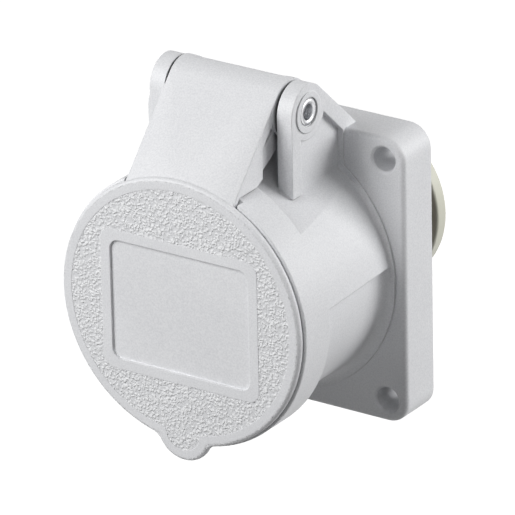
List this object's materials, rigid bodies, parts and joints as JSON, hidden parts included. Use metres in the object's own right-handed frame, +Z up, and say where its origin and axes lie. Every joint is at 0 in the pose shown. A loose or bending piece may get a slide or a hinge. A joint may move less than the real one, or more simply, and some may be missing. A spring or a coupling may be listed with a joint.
{
  "type": "industrial panel socket",
  "caption": "Square-flanged round industrial panel socket with contact insert and sprung hinged lid, fixed to a panel by its corners.",
  "frame": {"origin": "middle of the flange's back face, which lies on the panel", "axes": "+Y into the panel, away from the plug side; +Z up towards the hinge; +X to the right seen from the front"},
  "size_m": [0.071, 0.0803, 0.0886],
  "materials": {
    "light_grey_plastic": "moulded thermoplastic, satin, fine grain on the lid",
    "brown_plastic": "dark brown moulded insulating plastic",
    "cream_plastic": "cream moulded plastic",
    "black_rubber": "matt black rubber",
    "brass": "turned brass",
    "bright_steel": "nickel-plated steel",
    "zinc_steel": "zinc-plated steel sheet",
    "spring_steel": "drawn stainless spring wire"
  },
  "bodies": {
    "base": {"housing": "light_grey_plastic", "lid_gasket": "black_rubber", "panel_gasket": "black_rubber", "hinge_pin": "bright_steel", "contact_carrier": "brown_plastic", "carrier_plate": "brown_plastic", "insert_seal": "black_rubber", "terminal_block": "brown_plastic", "terminal_cover": "cream_plastic", "clamp_ring": "zinc_steel", "clamp_ring_screws": "bright_steel", "cover_screw": "bright_steel", "contact_live": "brass", "contact_neutral": "brass", "contact_earth": "brass", "spring_ring_live": "spring_steel", "spring_ring_neutral": "spring_steel", "spring_ring_earth": "spring_steel", "terminal_screw_live": "bright_steel", "terminal_screw_neutral": "bright_steel", "terminal_screw_earth": "bright_steel"},
    "lid": {"lid": "light_grey_plastic", "torsion_spring": "spring_steel"}
  },
  "joints": [
    {"name": "lid_hinge", "type": "hinge", "parent": "base", "child": "lid", "pos_m": [0, -0.0261, 0.0447], "axis": [-1, 0, 0], "range_deg": [0, 110], "stiffness_Nm_per_rad": 0.02, "springref_deg": -34.38, "deforming": ["torsion_spring"]}
  ]
}
